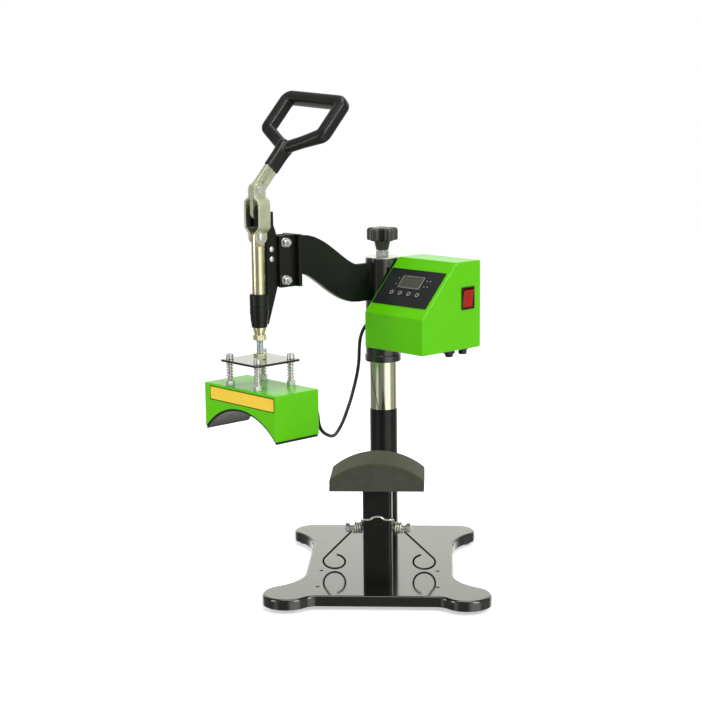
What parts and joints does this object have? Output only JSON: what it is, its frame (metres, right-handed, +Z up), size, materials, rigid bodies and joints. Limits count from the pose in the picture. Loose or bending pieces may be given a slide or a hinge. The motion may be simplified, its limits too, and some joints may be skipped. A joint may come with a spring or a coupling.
{
  "type": "cap heat press",
  "caption": "Swing-away heat press for caps: curved heated head on a toggle clamp, curved lower platen on a post, control box, folded steel base on rubber feet",
  "frame": {"origin": "on the top face of the base, midway between its four bolt holes, straight below the crown of the lower platen", "axes": "X to the right, Y from the straight front edge to the column, Z up; the bench is at Z -0.024"},
  "size_m": [0.4745, 0.4326, 0.8094],
  "materials": {
    "black_powder_coat": "fine-textured black powder coat",
    "rubber": "moulded black rubber",
    "zinc_steel": "bright zinc",
    "cast_platen": "sanded casting, darkened",
    "silicone_pad": "firm silicone, matte",
    "spring_steel": "drawn spring wire",
    "dark_wire": "blued spring wire",
    "chrome": "hard chrome, ground",
    "nylon": "natural nylon",
    "bronze": "sintered bronze",
    "cap_disc": "turned steel",
    "green_paint": "glossy green powder coat",
    "keypad": "satin black overlay",
    "lcd": "unlit display window",
    "circuit_board": "solder mask",
    "relay_case": "plain",
    "black_plastic": "moulded, lightly textured",
    "red_rocker": "gloss moulded",
    "key_plastic": "soft-touch",
    "zinc_handle": "zinc-plated pressing",
    "vinyl_grip": "dipped vinyl, satin",
    "stud_zinc": "blue zinc thread",
    "brass_zinc": "yellow zinc",
    "black_edge_plate": "black oxide",
    "heated_aluminium": "non-stick coated",
    "element_sheath": "heat-tinted steel strip",
    "mineral_wool": "fibre board",
    "cable_rubber": "smooth rubber sheath"
  },
  "bodies": {
    "stand": {"base_plate": "black_powder_coat", "rubber_feet": "rubber", "foot_screws": "zinc_steel", "platen_post": "black_powder_coat", "platen_form": "cast_platen", "platen_pad": "silicone_pad", "platen_bolts": "zinc_steel", "clip_pivot_rod": "zinc_steel", "clip_springs": "spring_steel", "column_tube": "black_powder_coat", "column_shaft": "chrome", "thrust_washer": "nylon"},
    "clip": {"clip_arms": "dark_wire"},
    "swing_head": {"swing_tube": "black_powder_coat", "swing_bushes": "bronze", "tube_cap": "cap_disc", "swing_arm": "black_powder_coat", "arm_bracket": "black_powder_coat", "bracket_bolts": "zinc_steel", "clamp_frame": "black_powder_coat", "guide_barrel": "black_powder_coat", "frame_pin": "zinc_steel", "box_shell": "green_paint", "box_back_cover": "black_powder_coat", "keypad_panel": "keypad", "display": "lcd", "control_board": "circuit_board", "heater_relay": "relay_case", "rocker_frame": "black_plastic", "mains_gland": "black_plastic", "fuse_holder": "black_plastic", "cable_gland": "black_plastic", "box_screws": "zinc_steel", "box_saddle": "black_powder_coat", "heater_cable": "cable_rubber"},
    "rocker": {"power_rocker": "red_rocker"},
    "key_one": {"key_1": "key_plastic"},
    "key_two": {"key_2": "key_plastic"},
    "key_three": {"key_3": "key_plastic"},
    "key_four": {"key_4": "key_plastic"},
    "knob": {"star_knob": "black_plastic", "knob_stud": "zinc_steel"},
    "handle": {"handle_bar": "zinc_handle", "handle_grip": "vinyl_grip", "upper_pin": "zinc_steel"},
    "links": {"side_links": "zinc_handle", "link_rivets": "zinc_steel"},
    "ram": {"plunger": "chrome", "plunger_pin": "zinc_steel", "pressure_stud": "stud_zinc", "stud_nuts": "brass_zinc", "spring_plate": "black_edge_plate", "head_springs": "spring_steel"},
    "heater": {"heater_housing": "green_paint", "heating_platen": "heated_aluminium", "heating_element": "element_sheath", "insulation": "mineral_wool", "heat_sensor": "zinc_steel", "guide_bolts": "zinc_steel", "heater_gland": "black_plastic"}
  },
  "joints": [
    {"name": "swing", "type": "hinge", "parent": "stand", "child": "swing_head", "pos_m": [0, 0.28, 0.4], "axis": [0, 0, 1], "range_deg": [-60, 44]},
    {"name": "knob_turn", "type": "hinge", "parent": "stand", "child": "knob", "pos_m": [0, 0.28, 0.53], "axis": [0, 0, 1], "continuous": true},
    {"name": "clip_swing", "type": "hinge", "parent": "stand", "child": "clip", "pos_m": [0, 0, 0.086], "axis": [1, 0, 0], "range_deg": [0, 90], "stiffness_Nm_per_rad": 0.3, "springref_deg": -17.19},
    {"name": "handle_pull", "type": "hinge", "parent": "swing_head", "child": "handle", "pos_m": [-0.1945, 0.07859, 0.59], "axis": [0.7193, -0.6947, 0], "range_deg": [0, 140]},
    {"name": "link_swing", "type": "hinge", "parent": "handle", "child": "links", "pos_m": [-0.1945, 0.07859, 0.626], "axis": [0.7193, -0.6947, 0], "range_deg": [-123, 0]},
    {"name": "ram_stroke", "type": "slide", "parent": "swing_head", "child": "ram", "axis": [0, 0, 1], "range_m": [-0.06, 0]},
    {"name": "heater_float", "type": "slide", "parent": "ram", "child": "heater", "axis": [0, 0, 1], "range_m": [0, 0.008], "stiffness_N_per_m": 16000, "springref_m": -0.006, "deforming": ["head_springs"]},
    {"name": "rocker_press", "type": "hinge", "parent": "swing_head", "child": "rocker", "pos_m": [0.14481, 0.18812, 0.434], "axis": [0.6947, 0.7193, 0], "range_deg": [-16, 0]},
    {"name": "key_one_press", "type": "slide", "parent": "swing_head", "child": "key_one", "axis": [0.5082, 0.5263, -0.6817], "range_m": [0, 0.001], "stiffness_N_per_m": 400, "springref_m": -0.001},
    {"name": "key_two_press", "type": "slide", "parent": "swing_head", "child": "key_two", "axis": [0.5082, 0.5263, -0.6817], "range_m": [0, 0.001], "stiffness_N_per_m": 400, "springref_m": -0.001},
    {"name": "key_three_press", "type": "slide", "parent": "swing_head", "child": "key_three", "axis": [0.5082, 0.5263, -0.6817], "range_m": [0, 0.001], "stiffness_N_per_m": 400, "springref_m": -0.001},
    {"name": "key_four_press", "type": "slide", "parent": "swing_head", "child": "key_four", "axis": [0.5082, 0.5263, -0.6817], "range_m": [0, 0.001], "stiffness_N_per_m": 400, "springref_m": -0.001}
  ],
  "couplings": [
    {"joint": "ram_stroke", "follows": "handle_pull", "m_per_rad": -0.024555},
    {"joint": "link_swing", "follows": "handle_pull", "ratio": -0.87338}
  ]
}
